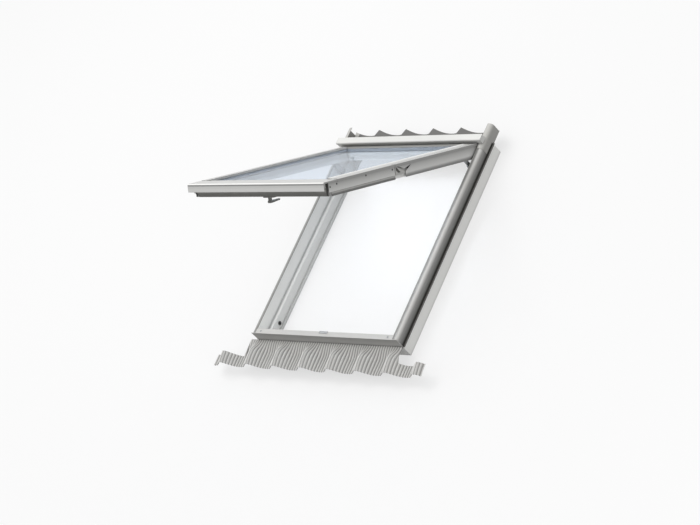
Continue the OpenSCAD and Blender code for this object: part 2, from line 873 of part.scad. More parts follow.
// Strip below the skirt: a hard carrier and, under a groove, a soft lip
module side_seal(left) {
    top = sash_top - skirt_h;
    lip_top = sash_under + 8;
    groove_h = 1.5;
    color(rubber) opened() hand(left) up_slope(rail_y + bevel_l, lower_end) {
        plate([skirt_x - skirt_t, sash_under + 1], [skirt_x - 1.5, top]);
        plate([skirt_x - skirt_t, lip_top + groove_h], [skirt_x, top - groove_h]);
        plate([skirt_x - skirt_t, sash_under + 1], [skirt_x, lip_top]);
    }
}

module side_seal_left() { side_seal(true); }
module side_seal_right() { side_seal(false); }

// Strip that covers the front and the bevel of the bottom rail
module bottom_seal() {
    strip_t = 2.5;
    seal_top = sash_top - face_h + 6;
    bevel_top = sash_under + bevel_h;
    color(rubber) opened() across(-sash_x, sash_x) polygon([[rail_y - strip_t, seal_top], [rail_y, seal_top],
        [rail_y, bevel_top], [rail_y + bevel_l, sash_under], [rail_y + bevel_l - strip_t, sash_under],
        [rail_y - strip_t, bevel_top]]);
}

// Glass unit

module pane(z) {
    block([-glass_x, pocket_low + edge_gap, z], [glass_x, pocket_high - edge_gap, z + pane_t]);
}

// Flat ring of the width w inside the edge of the glass
module glass_ring(z, t, w) {
    difference() {
        block([-glass_x, pocket_low + edge_gap, z], [glass_x, pocket_high - edge_gap, z + t]);
        block([-glass_x + w, pocket_low + edge_gap + w, z - past],
            [glass_x - w, pocket_high - edge_gap - w, z + t + past]);
    }
}

module outer_pane() { color(glass_blue) opened() pane(outer_z); }
module inner_pane() { color(glass_blue) opened() pane(inner_z); }
module glass_spacer() { color(dark_grey) opened() glass_ring(gas_z, gas_t, cover_lap + 4); }

// Strip under the covers, which stands up along the edges of the side covers
module glazing_gasket() {
    upstand = 2;
    z = outer_z + pane_t;
    color(rubber) opened() {
        glass_ring(z, gasket_t, cover_lap + upstand);
        for (left = [true, false]) hand(left)
            block([cover_edge_x - upstand, front_plate_end + upstand, z],
                [cover_edge_x, top_cover_low - upstand, sash_top + crown - 1]);
    }
}

// Handle under the bottom rail

module handle_base() {
    end_x = (base_l - base_w) / 2;
    color(dark_grey) opened() translate([0, handle_y, sash_under]) difference() {
        union() {
            block([-end_x, -base_w / 2, -base_t], [end_x, base_w / 2, 0]);
            for (x = [-end_x, end_x]) translate([x, 0, -base_t]) cylinder(r = base_w / 2, h = base_t);
        }
        translate([0, 0, -base_t - past]) cylinder(r = neck_r + run_gap, h = base_t);
    }
}

module handle_lever() {
    z = sash_under - base_t - neck_h;
    color(dark_grey) opened() translate([0, handle_y, 0]) {
        translate([0, 0, z - lever_t / 2]) cylinder(r = neck_r, h = neck_h + base_t - past + lever_t / 2);
        translate([0, 0, z - lever_t]) cylinder(r = lever_w / 2 + 1, h = lever_t);
        hull() {
            translate([0, 0, z - lever_t]) cylinder(r = lever_w / 2, h = lever_t, $fn = 32);
            translate([0, lever_l, z - lever_t + 2]) cylinder(r = lever_w / 2 - 2, h = lever_t - 3, $fn = 32);
        }
    }
}

frame_head();
frame_sill();
frame_stile_left();
frame_stile_right();
frame_gasket();
side_cover_left();
side_cover_right();
bottom_cover();
hood();
hood_cap_left();
hood_cap_right();
hinge_plate_left();
hinge_plate_right();
stay_bracket_left();
stay_bracket_right();
striker_plate();
cover_screws();
bolt_bush();
bracket_top_left();
bracket_top_right();
bracket_bottom_left();
bracket_bottom_right();
head_flashing();
side_flashing_left();
side_flashing_right();
pleated_apron();
arm_left();
arm_right();
arm_cover_left();
arm_cover_right();
pivot_housing_left();
pivot_housing_right();
pivot_pin_left();
pivot_pin_right();
stay_left();
stay_right();
sash_top_rail();
sash_bottom_rail();
sash_stile_left();
sash_stile_right();
front_cover();
sash_cover_left();
sash_cover_right();
upper_cover_left();
upper_cover_right();
top_cover();
side_seal_left();
side_seal_right();
bottom_seal();
pivot_bush_left();
pivot_bush_right();
side_screws();
outer_pane();
inner_pane();
glass_spacer();
glazing_gasket();
handle_base();
handle_lever();
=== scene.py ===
"""Top-hung roof window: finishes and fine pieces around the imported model."""

import json
import logging
import math
from dataclasses import dataclass
from enum import Enum
from typing import Callable, Iterable, Sequence

import bmesh
import bpy
from mathutils import Matrix, Vector


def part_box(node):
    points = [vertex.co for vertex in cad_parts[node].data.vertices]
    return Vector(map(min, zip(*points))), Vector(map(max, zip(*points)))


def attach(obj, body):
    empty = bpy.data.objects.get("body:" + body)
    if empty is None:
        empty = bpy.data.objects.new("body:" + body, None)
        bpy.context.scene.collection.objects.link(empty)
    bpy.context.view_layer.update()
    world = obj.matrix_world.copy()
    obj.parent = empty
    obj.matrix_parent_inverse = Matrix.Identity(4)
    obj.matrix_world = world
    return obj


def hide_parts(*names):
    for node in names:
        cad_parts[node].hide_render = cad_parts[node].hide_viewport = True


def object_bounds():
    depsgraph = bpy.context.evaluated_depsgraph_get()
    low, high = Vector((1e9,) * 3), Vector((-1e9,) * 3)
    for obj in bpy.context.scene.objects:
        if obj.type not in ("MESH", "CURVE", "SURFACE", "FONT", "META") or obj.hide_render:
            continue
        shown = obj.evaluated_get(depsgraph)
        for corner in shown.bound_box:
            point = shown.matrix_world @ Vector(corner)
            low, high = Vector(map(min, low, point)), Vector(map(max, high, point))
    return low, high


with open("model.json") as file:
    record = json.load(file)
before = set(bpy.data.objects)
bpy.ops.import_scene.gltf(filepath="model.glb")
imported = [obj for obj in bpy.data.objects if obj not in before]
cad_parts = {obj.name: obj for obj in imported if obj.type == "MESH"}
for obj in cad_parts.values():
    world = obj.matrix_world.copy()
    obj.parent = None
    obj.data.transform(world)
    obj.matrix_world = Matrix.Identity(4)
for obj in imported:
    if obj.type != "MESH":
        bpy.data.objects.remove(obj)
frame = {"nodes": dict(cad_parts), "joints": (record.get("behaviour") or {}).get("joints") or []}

LOG = logging.getLogger("roof_window")
CAD_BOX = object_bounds()
MM = 0.001
WHITE = (1.0, 1.0, 1.0, 1.0)
# Cosine above which a face or an edge counts as pointing along an axis
ALIGNED = 0.9
# Angles between faces from which an edge is rounded, and from which its shading breaks
ROUND_DEG = 40.0
SMOOTH_DEG = 35.0

Socket = bpy.types.NodeSocket
Tree = bpy.types.NodeTree
Node = bpy.types.Node
Object = bpy.types.Object
Pair = tuple[float, float]
Triple = tuple[float, float, float]


class Side(Enum):
    """Hand of a piece that comes in pairs, with its sign along X."""

    LEFT = -1
    RIGHT = 1

    @property
    def word(self) -> str:
        """Ending of the node names on this side."""
        return self.name.lower()


class Body(Enum):
    """Moving bodies that pieces ride on."""

    FRAME = "frame"
    ARMS = "arms"
    SASH = "sash"
    LEVER = "lever"


class Slot(Enum):
    """Material slots of the record, by name."""

    STEEL = "zinc_steel"
    RUBBER = "black_rubber"
    PLASTIC = "moulded_plastic"
    HANDLE = "handle_metal"


class Part(Enum):
    """Parts of a mesh that are selected in edit mode."""

    FACES = "FACE"
    EDGES = "EDGE"


class Reads(Enum):
    """What a film on a surface follows: where a point is, or which way its face looks."""

    PLACE = "Object"
    FACING = "Normal"


def linear(colour: str) -> tuple[float, float, float, float]:
    """Turns an sRGB hex colour into linear light.

    Args:
        colour: Colour such as "#c4c3c1".

    Returns:
        Red, green, blue and an alpha of 1.
    """
    parts = [int(colour[i:i + 2], 16) / 255 for i in (1, 3, 5)]
    light = [c / 12.92 if c <= 0.04045 else ((c + 0.055) / 1.055) ** 2.4 for c in parts]
    return (*light, 1.0)


def add_node(tree: Tree, kind: str, values: dict | None = None, links: dict | None = None,
             **settings) -> Node:
    """Adds one shader node with its settings and links.

    Args:
        tree: Node tree that takes the node.
        kind: Name of the node type, without its "ShaderNode" start.
        values: Numbers and colours of the input sockets, by socket name or number.
        links: Output sockets that feed the input sockets, by socket name or number.
        **settings: Attributes of the node itself.

    Returns:
        The new node.
    """
    node = tree.nodes.new("ShaderNode" + kind)
    for name, value in settings.items():
        setattr(node, name, value)
    for name, value in (values or {}).items():
        node.inputs[name].default_value = value
    for name, socket in (links or {}).items():
        tree.links.new(socket, node.inputs[name])
    return node


def per_metre(size_mm: float) -> float:
    """Texture scale whose features are size_mm wide, on coordinates in metres."""
    return 1 / (size_mm * MM)


@dataclass(frozen=True)
class Film:
    """Layer of painted shade and light, whose tone changes along one direction.

    Attributes:
        reads: Whether the film follows the place of a point or the way its face looks.
        along: Direction in which the tone changes.
        stops: Places in millimetres, or cosines for a facing, each with the tone there.
        start: Place from which the stops count.
        fold: Distance after which the stops run back again, or 0 for none.
        facing: Direction of the faces that take the whole film, or None for all faces.
    """

    reads: Reads
    along: Triple
    stops: tuple[Pair, ...]
    start: float = 0.0
    fold: float = 0.0
    facing: Triple | None = None

    def spread(self, tree: Tree, tone: Socket) -> Socket:
        """Lays the film over a colour.

        Args:
            tree: Node tree of the material.
            tone: Colour under the film.

        Returns:
            Colour with the film.
        """
        unit = MM if self.reads is Reads.PLACE else 1.0
        where = add_node(tree, "TexCoord")
        value = add_node(tree, "VectorMath", {1: self.along}, {0: where.outputs[self.reads.value]},
                         operation="DOT_PRODUCT").outputs["Value"]
        value = add_node(tree, "Math", {1: self.start * unit}, {0: value},
                         operation="SUBTRACT").outputs["Value"]
        if self.fold:
            value = add_node(tree, "Math", {1: self.fold * unit}, {0: value},
                             operation="PINGPONG").outputs["Value"]
        first, last = self.stops[0][0], self.stops[-1][0]
        share = add_node(tree, "MapRange", {"From Min": first * unit, "From Max": last * unit},
                         {"Value": value})
        ramp = add_node(tree, "ValToRGB", links={"Fac": share.outputs["Result"]})
        marks = ramp.color_ramp.elements
        while len(marks) < len(self.stops):
            marks.new(0.5)
        for mark, (place, light) in zip(marks, self.stops):
            mark.position = (place - first) / (last - first)
            mark.color = (light, light, light, 1.0)
        film = ramp.outputs["Color"]
        if self.facing:
            look = add_node(tree, "VectorMath", {1: self.facing}, {0: where.outputs["Normal"]},
                            operation="DOT_PRODUCT")
            size = add_node(tree, "Math", links={0: look.outputs["Value"]}, operation="ABSOLUTE")
            film = add_node(tree, "MixRGB", {"Color1": WHITE},
                            {"Fac": size.outputs["Value"], "Color2": film}).outputs["Color"]
        return add_node(tree, "MixRGB", {"Fac": 1.0}, {"Color1": tone, "Color2": film},
                        blend_type="MULTIPLY").outputs["Color"]


@dataclass(frozen=True)
class Finish:
    """Surface of one material: two tones, fine grain, films of painted shade and light, painted shade in
    seams.

    Attributes:
        title: Name of the material.
        colour: First tone, as sRGB hex.
        shade: Second tone, as sRGB hex.
        roughness: Middle of the roughness.
        metallic: Share of bare metal.
        cloud_mm: Width of the patches of each tone.
        grain_mm: Width of the grain.
        grain_deep_mm: Depth of the grain.
        stretch: Stretch of the pattern along X, Y and Z.
        turn_deg: Turn of the pattern about X.
        seam_mm: Distance that the painted shade reaches out of a seam.
        seam_tone: Tone of the painted shade in the depth of a seam.
        seam_rays: Rays that look for a seam.
        rub: Share by which the roughness changes between the tones.
        coat: Weight of a clear coat.
        coat_roughness: Roughness of the clear coat.
        films: Layers of painted shade and light over the tones, the lowest first.
    """

    title: str
    colour: str
    shade: str
    roughness: float
    metallic: float = 0.0
    cloud_mm: float = 90.0
    grain_mm: float = 3.0
    grain_deep_mm: float = 0.03
    stretch: Triple = (1.0, 1.0, 1.0)
    turn_deg: float = 0.0
    seam_mm: float = 12.0
    seam_tone: float = 0.55
    seam_rays: int = 8
    rub: float = 0.15
    coat: float = 0.0
    coat_roughness: float = 0.2
    films: tuple[Film, ...] = ()

    def material(self) -> bpy.types.Material:
        """Makes the material once and then shares it.

        Returns:
            The material of this title.
        """
        found = bpy.data.materials.get(self.title)
        if found:
            return found
        made = bpy.data.materials.new(self.title)
        made.use_nodes = True
        tree = made.node_tree
        tree.nodes.clear()
        shader = add_node(tree, "BsdfPrincipled", {
            "Metallic": self.metallic, "Coat Weight": self.coat, "Coat Roughness": self.coat_roughness})
        add_node(tree, "OutputMaterial", links={"Surface": shader.outputs["BSDF"]})
        self.wire(tree, shader)
        return made

    def place(self, tree: Tree) -> Socket:
        """Adds the coordinates of the pattern.

        Args:
            tree: Node tree of the material.

        Returns:
            Coordinates in metres, turned with the sash and stretched along the grain.
        """
        where = add_node(tree, "TexCoord")
        return add_node(tree, "Mapping", {
            "Rotation": (math.radians(self.turn_deg), 0.0, 0.0),
            "Scale": tuple(1 / s for s in self.stretch)},
            {"Vector": where.outputs["Object"]}).outputs["Vector"]

    def wire(self, tree: Tree, shader: Node) -> None:
        """Links tones, roughness and grain to the shader.

        Args:
            tree: Node tree of the material.
            shader: Principled shader of the material.
        """
        where = self.place(tree)
        cloud = add_node(tree, "TexNoise", {"Scale": per_metre(self.cloud_mm), "Detail": 4.0},
                         {"Vector": where})
        self.tint(tree, shader, cloud.outputs["Fac"])
        self.roughen(tree, shader, where)

    def tint(self, tree: Tree, shader: Node, pattern: Socket) -> None:
        """Links colour and roughness to the shader, with painted shade and light in films and seams.

        Args:
            tree: Node tree of the material.
            shader: Principled shader of the material.
            pattern: Pattern from 0 to 1 between the two tones.
        """
        tone = add_node(tree, "MixRGB", {"Color1": linear(self.colour), "Color2": linear(self.shade)},
                        {"Fac": pattern}).outputs["Color"]
        for film in self.films:
            tone = film.spread(tree, tone)
        # Painted shade: ambient occlusion darkens the colour in seams, corners and recesses
        corner = add_node(tree, "AmbientOcclusion", {"Distance": self.seam_mm * MM},
                          samples=self.seam_rays, only_local=False)
        seam_shade = add_node(tree, "MapRange", {"To Min": self.seam_tone, "To Max": 1.0},
                        {"Value": corner.outputs["AO"]})
        mixed = add_node(tree, "MixRGB", {"Fac": 1.0}, {"Color1": tone, "Color2": seam_shade.outputs["Result"]},
                         blend_type="MULTIPLY")
        tree.links.new(mixed.outputs["Color"], shader.inputs["Base Color"])
        rough = add_node(tree, "MapRange", {"To Min": self.roughness * (1 - self.rub),
                                            "To Max": self.roughness * (1 + self.rub)}, {"Value": pattern})
        tree.links.new(rough.outputs["Result"], shader.inputs["Roughness"])

    def roughen(self, tree: Tree, shader: Node, where: Socket) -> None:
        """Adds the fine grain of the surface.

        Args:
            tree: Node tree of the material.
            shader: Principled shader of the material.
            where: Coordinates of the pattern.
        """
        grain = add_node(tree, "TexNoise", {"Scale": per_metre(self.grain_mm), "Detail": 2.0},
                         {"Vector": where})
        self.emboss(tree, shader, grain.outputs["Fac"])

    def emboss(self, tree: Tree, shader: Node, height: Socket) -> None:
        """Links a bump of the grain's depth to the shader.

        Args:
            tree: Node tree of the material.
            shader: Principled shader of the material.
            height: Pattern from 0 to 1.
        """
        bump = add_node(tree, "Bump", {"Distance": self.grain_deep_mm * MM}, {"Height": height})
        tree.links.new(bump.outputs["Normal"], shader.inputs["Normal"])


@dataclass(frozen=True)
class LacqueredPine(Finish):
    """White lacquer on timber, lifted a little by the grain."""

    grain_mm: float = 2.5
    grain_deep_mm: float = 0.06


@dataclass(frozen=True)
class MouldedNylon(Finish):
    """Moulded plastic, with the spark texture of its mould."""

    grain_mm: float = 1.5
    grain_deep_mm: float = 0.05


@dataclass(frozen=True)
class ExtrudedRubber(Finish):
    """Rubber section, matt and clouded by its bloom."""

    cloud_mm: float = 30.0
    grain_mm: float = 2.0
    grain_deep_mm: float = 0.05


@dataclass(frozen=True)
class SpangledSteel(Finish):
    """Zinc-plated sheet steel, with the flat crystals of its plating."""

    grain_mm: float = 1.5
    crystal_mm: float = 6.0

    def wire(self, tree: Tree, shader: Node) -> None:
        """Links crystals of two tones to the shader.

        Args:
            tree: Node tree of the material.
            shader: Principled shader of the material.
        """
        where = self.place(tree)
        crystal = add_node(tree, "TexVoronoi", {"Scale": per_metre(self.crystal_mm)}, {"Vector": where})
        self.tint(tree, shader, crystal.outputs["Color"])
        self.roughen(tree, shader, where)


@dataclass(frozen=True)
class FloatGlass(Finish):
    """Clear float glass, with the slow waves of its drawing."""

    bend: float = 1.03

    def wire(self, tree: Tree, shader: Node) -> None:
        """Makes the shader clear and links its waves.

        Args:
            tree: Node tree of the material.
            shader: Principled shader of the material.
        """
        shader.inputs["Base Color"].default_value = linear(self.colour)
        shader.inputs["Roughness"].default_value = self.roughness
        shader.inputs["Transmission Weight"].default_value = 1.0
        shader.inputs["IOR"].default_value = self.bend
        wave = add_node(tree, "TexNoise", {"Scale": per_metre(self.cloud_mm)}, {"Vector": self.place(tree)})
        self.emboss(tree, shader, wave.outputs["Fac"])


UP = (0.0, 0.0, 1.0)
DOWN = (0.0, 0.0, -1.0)
ACROSS = (1.0, 0.0, 0.0)
ALONG = (0.0, 1.0, 0.0)
# Sideways place of the frame's middle, because the apron reaches further to the left
MIDDLE_MM = 20.0
# Angle that the sash stands open, with the directions out of its top face, into it and out of its front
SASH_TURN = 45.0
SASH_SKY = (0.0, math.sin(math.radians(SASH_TURN)), math.cos(math.radians(SASH_TURN)))
SASH_DOWN = (0.0, -SASH_SKY[1], -SASH_SKY[2])
SASH_FRONT = (0.0, -SASH_SKY[2], SASH_SKY[1])
HINGE = Vector(next(j["pos_m"] for j in frame["joints"] if j["name"] == "top_hinge"))
# Distance of the hinge below the sash's top face, and the level of that face along SASH_DOWN
HINGE_DEEP_MM = 15.5
SASH_LEVEL = HINGE.dot(Vector(SASH_DOWN)) / MM - HINGE_DEEP_MM
# Height of the frame covers above the floor
COVER_TOP_MM = 115.0
# Fold that lies far outside the part, so that a film is alike on both sides of its start
BOTH_SIDES = 1000.0
# The apron is the widest piece, so the part's box gives its left edge and the width of its pleats
APRON_LEFT_MM, APRON_RIGHT_MM = (corner.x / MM for corner in CAD_BOX)
PLEATS = 91
HALF_PLEAT_MM = (APRON_RIGHT_MM - APRON_LEFT_MM) / PLEATS / 2


def painted_side_shade(tone: float) -> Film:
    """Film of painted shade on faces that don't look up, gone where a face looks up."""
    return Film(Reads.FACING, UP, ((0.0, tone), (ALIGNED, 1.0)))


# Polyester lacquer baked on aluminium sheet: an even satin grey with a faint orange peel.
# The peel is about 1 mm in life and is drawn at 3 mm so that it shows.
# On the hood, faces that don't look up get painted shade, which darkens its front lip.
LIGHT_LACQUER = Finish("light_lacquer_aluminium", "#e4e4e1", "#dadad7", 0.42, films=(painted_side_shade(0.60),))
# Painted shade under the lips, towards the lower edges of the skirts and on faces that look to the front,
# and a painted highlight along the inner edges of the tops, with painted shade outward of them.
SASH_LACQUER = Finish(
    "sash_lacquer_aluminium", "#fbfbf9", "#f4f4f1", 0.36, turn_deg=SASH_TURN, seam_tone=0.40,
    films=(
        Film(Reads.PLACE, SASH_DOWN,
             ((0.0, 0.29), (6.0, 0.31), (12.0, 0.38), (34.0, 0.58), (41.0, 0.62), (44.0, 0.57), (48.0, 0.38),
              (52.0, 0.25), (60.0, 0.18)), start=SASH_LEVEL, facing=ACROSS),
        Film(Reads.FACING, SASH_FRONT, ((0.45, 1.0), (0.68, 0.36))),
        Film(Reads.PLACE, ACROSS, ((317.0, 1.0), (325.0, 0.98), (331.0, 0.70), (352.0, 0.60), (369.0, 0.53)),
             start=MIDDLE_MM, fold=BOTH_SIDES, facing=SASH_SKY)))
# The front's rounded top edge gets a painted highlight, a painted shadow lies in the groove under it,
# and faces that don't look up get painted shade.
FACE_LACQUER = Finish(
    "face_lacquer_aluminium", "#fafaf8", "#f4f4f1", 0.34, turn_deg=SASH_TURN, seam_mm=7.0, seam_tone=0.30,
    films=(
        Film(Reads.FACING, UP, ((0.0, 0.35), (0.60, 0.61), (0.86, 0.61), (0.96, 1.0))),
        Film(Reads.PLACE, SASH_DOWN,
             ((0.0, 1.0), (4.5, 1.0), (5.5, 0.60), (9.5, 0.60), (11.0, 0.90), (18.0, 0.93), (22.0, 1.0),
              (31.0, 1.0), (34.0, 0.86)), start=SASH_LEVEL, facing=SASH_FRONT)))
# The top cover lies under the hood, and its lacquer is darkened to a painted shadow of the hood.
SHADED_LACQUER = Finish("head_lacquer_aluminium", "#a9a9a6", "#a0a09d", 0.40, turn_deg=SASH_TURN)
# Each side cover gets painted shade on faces that don't look up and beside its seal,
# a painted highlight where its top rolls over, and painted shade down its outer wall.
FRAME_LACQUER = Finish(
    "frame_lacquer_aluminium", "#dfdedb", "#d5d4d1", 0.34,
    films=(
        painted_side_shade(0.42),
        Film(Reads.PLACE, ACROSS, ((371.0, 0.34), (381.0, 0.42), (387.0, 0.92), (390.0, 1.0), (395.0, 1.0)),
             start=MIDDLE_MM, fold=BOTH_SIDES, facing=UP),
        Film(Reads.PLACE, DOWN,
             ((0.0, 1.0), (14.0, 0.98), (22.0, 0.85), (28.0, 0.66), (34.0, 0.48), (40.0, 0.40)),
             start=-COVER_TOP_MM, facing=ACROSS)))
# The bottom cover's front gets painted shade along its upper and lower edges, and on faces that don't look
# up.
FRONT_LACQUER = Finish(
    "front_lacquer_aluminium", "#c9c8c5", "#bfbebb", 0.38,
    films=(
        painted_side_shade(0.72),
        Film(Reads.PLACE, DOWN,
             ((0.0, 0.72), (5.0, 0.70), (30.0, 0.92), (42.0, 1.0), (47.0, 0.98), (50.0, 0.66), (55.0, 0.60)),
             start=-COVER_TOP_MM, facing=ALONG)))
# The side flashings carry a dark lacquer, partly their own dark grey and partly painted shade beside the
# covers;
# faces that don't look up get painted shade.
FLASHING_LACQUER = Finish("flashing_lacquer_aluminium", "#6b6a66", "#61605c", 0.45, films=(painted_side_shade(0.7),))
# The head flashing's crest between its legs is a painted shadow of the hood, painted shade darkens it
# outward of the legs, and faces that don't look up get painted shade.
HEAD_LACQUER = Finish(
    "head_flashing_aluminium", "#c4c3bf", "#b9b8b4", 0.42,
    films=(
        painted_side_shade(0.7),
        Film(Reads.PLACE, ACROSS,
             ((360.0, 0.27), (370.0, 0.27), (373.0, 1.0), (392.0, 0.97), (398.0, 0.80), (402.0, 0.50),
              (420.0, 0.46)), start=MIDDLE_MM, fold=BOTH_SIDES)))
# Thin soft aluminium, lacquered before it was pleated: matt, with small dents from dressing it down,
# a painted highlight along the crests, and painted shade in the folds, seams and on faces that don't look
# up.
APRON_SHEET = Finish(
    "pleated_soft_aluminium", "#dfdedb", "#cecdca", 0.50, cloud_mm=40, grain_mm=9, grain_deep_mm=0.25,
    seam_mm=7, seam_tone=0.35,
    films=(
        painted_side_shade(0.50),
        Film(Reads.PLACE, ACROSS, ((0.0, 1.0), (1.8, 0.95), (4.4, 0.58), (HALF_PLEAT_MM, 0.48)),
             start=APRON_LEFT_MM, fold=HALF_PLEAT_MM)))
# White water-borne lacquer on pine: the grain still lifts the film a little along each piece.
RAIL_TIMBER = LacqueredPine("white_lacquered_pine_across", "#f2f2f0", "#ebebe8", 0.45, stretch=(30, 1, 1))
STILE_TIMBER = LacqueredPine("white_lacquered_pine_along", "#f2f2f0", "#ebebe8", 0.45, stretch=(1, 30, 1))
# The front ends of the sash's stiles get painted shade,
# and so do their sides in the gap behind the skirts.
SASH_TIMBER = LacqueredPine(
    "white_lacquered_pine_sash", "#eeeeec", "#e6e6e3", 0.45, stretch=(1, 30, 1), turn_deg=SASH_TURN,
    films=(
        Film(Reads.FACING, SASH_FRONT, ((0.45, 1.0), (0.68, 0.42))),
        Film(Reads.PLACE, ACROSS, ((361.0, 1.0), (363.5, 0.36)), start=MIDDLE_MM, fold=BOTH_SIDES,
             facing=ACROSS)))
# Zinc plating on pressed steel: flat crystals, each a little lighter or darker than the next.
ZINC = SpangledSteel("zinc_plated_steel", "#b4b6b8", "#9a9c9e", 0.38, metallic=1.0)
# The same steel, dark and dull; on the arms and pivot pins this dark tone is painted shade round the pivots.
DARK_STEEL = SpangledSteel("dark_steel_and_painted_shade", "#5a5b5b", "#484949", 0.45, metallic=0.8)
# Glass-filled nylon: matt, with the fine spark texture of its mould drawn at 1.5 mm so that it shows.
PLASTIC = MouldedNylon("moulded_grey_nylon", "#cfcfcd", "#c2c2c0", 0.50)
HOUSING_PLASTIC = MouldedNylon("moulded_housing_nylon", "#b4b4b1", "#a8a8a5", 0.50)
DARK_PLASTIC = MouldedNylon("moulded_dark_nylon", "#4c4c4a", "#414140", 0.50)
# Extruded rubber: matt, with a dusty bloom. The bottom seal darkens towards its lower edge:
# painted shade in the recess under the front cover.
RUBBER = ExtrudedRubber(
    "extruded_grey_rubber", "#a5a5a0", "#979792", 0.75,
    films=(
        Film(Reads.PLACE, SASH_DOWN, ((34.0, 1.0), (38.0, 0.88), (42.0, 0.68), (46.0, 0.52), (60.0, 0.38)),
             start=SASH_LEVEL),))
# The side seals are pale and darker along the lower lip, partly its own dark rubber and partly painted
# shade.
SEAL_RUBBER = ExtrudedRubber(
    "extruded_side_rubber", "#b2b2af", "#a4a4a1", 0.72,
    films=(
        Film(Reads.PLACE, SASH_DOWN, ((0.0, 1.0), (49.0, 1.0), (51.0, 0.70), (54.0, 0.42), (60.0, 0.30)),
             start=SASH_LEVEL),))
# Light grey rubber, with only faint painted shade in the seams of the gaskets.
SOFT_RUBBER = ExtrudedRubber("extruded_light_rubber", "#c6c6c4", "#bababa", 0.70, seam_tone=0.85)
# The fins are a middle grey, and the boots, pads and strips are dark.
FIN_RUBBER = ExtrudedRubber("extruded_fin_rubber", "#a3a39f", "#959591", 0.70)
DARK_RUBBER = ExtrudedRubber("extruded_dark_rubber", "#555552", "#4a4a47", 0.75)
# Foil on the spacer bar: a dull silver with a blue cast.
SPACER = Finish("spacer_bar_foil", "#b6bcc4", "#a8aeb6", 0.40, metallic=0.15, cloud_mm=25)
# Zinc die casting under satin grey enamel: soft lights along its rounded edges.
HANDLE = Finish("satin_enamel_casting", "#6a6a67", "#5e5e5b", 0.38, cloud_mm=20, grain_mm=1.5, coat=0.2)
# Coated float glass: a faint blue in its thickness, slow waves across it and next to no mirror image.
GLASS = FloatGlass("coated_float_glass", "#eff4fa", "#eff4fa", 0.0, cloud_mm=220, grain_deep_mm=0.02)


def paint(names: Iterable[str], finish: Finish) -> None:
    """Gives one finish to some CAD nodes.

    Args:
        names: Node names.
        finish: Surface that they get.
    """
    for name in names:
        node = frame["nodes"][name]
        node.data.materials.clear()
        node.data.materials.append(finish.material())
        LOG.info("dressed %s in %s", name, finish.title)


def both(name: str) -> list[str]:
    """Names of a node that comes in a left and a right hand."""
    return [f"{name}_{side.word}" for side in Side]


def beside(side: Side, *places_mm: float) -> list[float]:
    """Places to the left or right of the frame's middle, in rising order."""
    return sorted(MIDDLE_MM + side.value * place for place in places_mm)


def take(*pieces: Object) -> None:
    """Leaves edit mode and selects only these pieces, the first as the active one.

    Args:
        *pieces: Pieces to select.
    """
    if bpy.context.object and bpy.context.object.mode == "EDIT":
        bpy.ops.object.mode_set(mode="OBJECT")
    bpy.ops.object.select_all(action="DESELECT")
    for piece in pieces:
        piece.select_set(True)
    if pieces:
        bpy.context.view_layer.objects.active = pieces[0]


def remove(piece: Object) -> None:
    """Deletes a piece."""
    take(piece)
    bpy.ops.object.delete()


def fix_place(piece: Object) -> Object:
    """Moves a piece's place, turn and scale into its mesh.

    Args:
        piece: Piece that was moved.

    Returns:
        The same piece.
    """
    take(piece)
    bpy.ops.object.transform_apply(location=True, rotation=True, scale=True)
    return piece


def start_block(name: str, low_mm: Sequence[float], high_mm: Sequence[float]) -> Object:
    """Adds a block between two corners, as the start of a piece.

    Args:
        name: Name of the piece.
        low_mm: Lowest corner, in millimetres.
        high_mm: Highest corner, in millimetres.

    Returns:
        The block.
    """
    take()
    low, high = Vector(low_mm) * MM, Vector(high_mm) * MM
    bpy.ops.mesh.primitive_cube_add(size=1.0, location=(low + high) / 2)
    made = bpy.context.object
    made.name = name
    made.scale = high - low
    return fix_place(made)


def start_round(name: str, radius_mm: float, low_mm: float, high_mm: float, sides: int) -> Object:
    """Adds an upright round bar about the origin, as the start of a piece.

    Args:
        name: Name of the piece.
        radius_mm: Radius of the bar, in millimetres.
        low_mm: Height of its lower end.
        high_mm: Height of its upper end.
        sides: Number of its sides.

    Returns:
        The bar.
    """
    take()
    bpy.ops.mesh.primitive_cylinder_add(vertices=sides, radius=radius_mm * MM, depth=(high_mm - low_mm) * MM,
                                        location=(0.0, 0.0, (low_mm + high_mm) / 2 * MM))
    made = bpy.context.object
    made.name = name
    return fix_place(made)


def choose(piece: Object, part: Part, wanted: Callable[[Vector, Vector], bool]) -> None:
    """Selects faces or edges of a piece in edit mode.

    Args:
        piece: Piece to edit.
        part: Faces or edges.
        wanted: Test on the middle of a face or edge, in millimetres, and on its normal or direction.
    """
    take(piece)
    bpy.ops.object.mode_set(mode="EDIT")
    bpy.ops.mesh.select_mode(type=part.value)
    bpy.ops.mesh.select_all(action="DESELECT")
    mesh = bmesh.from_edit_mesh(piece.data)
    if part is Part.FACES:
        for face in mesh.faces:
            face.select_set(wanted(face.calc_center_median() / MM, face.normal))
    else:
        for edge in mesh.edges:
            a, b = (corner.co for corner in edge.verts)
            edge.select_set(wanted((a + b) / 2 / MM, (b - a).normalized()))
    bmesh.update_edit_mesh(piece.data)


def pull(*move_mm: float) -> None:
    """Extrudes the selected faces by a distance in millimetres along X, Y and Z."""
    bpy.ops.mesh.extrude_region_move(TRANSFORM_OT_translate={"value": tuple(m * MM for m in move_mm)})


def narrow(piece: Object, *share: float) -> None:
    """Scales the selected faces of a piece about their own middle.

    Args:
        piece: Piece in edit mode.
        *share: Scale along X, Y and Z.
    """
    chosen = [face for face in bmesh.from_edit_mesh(piece.data).faces if face.select]
    middle = sum((face.calc_center_median() for face in chosen), Vector()) / len(chosen)
    bpy.ops.transform.resize(value=share, center_override=middle)


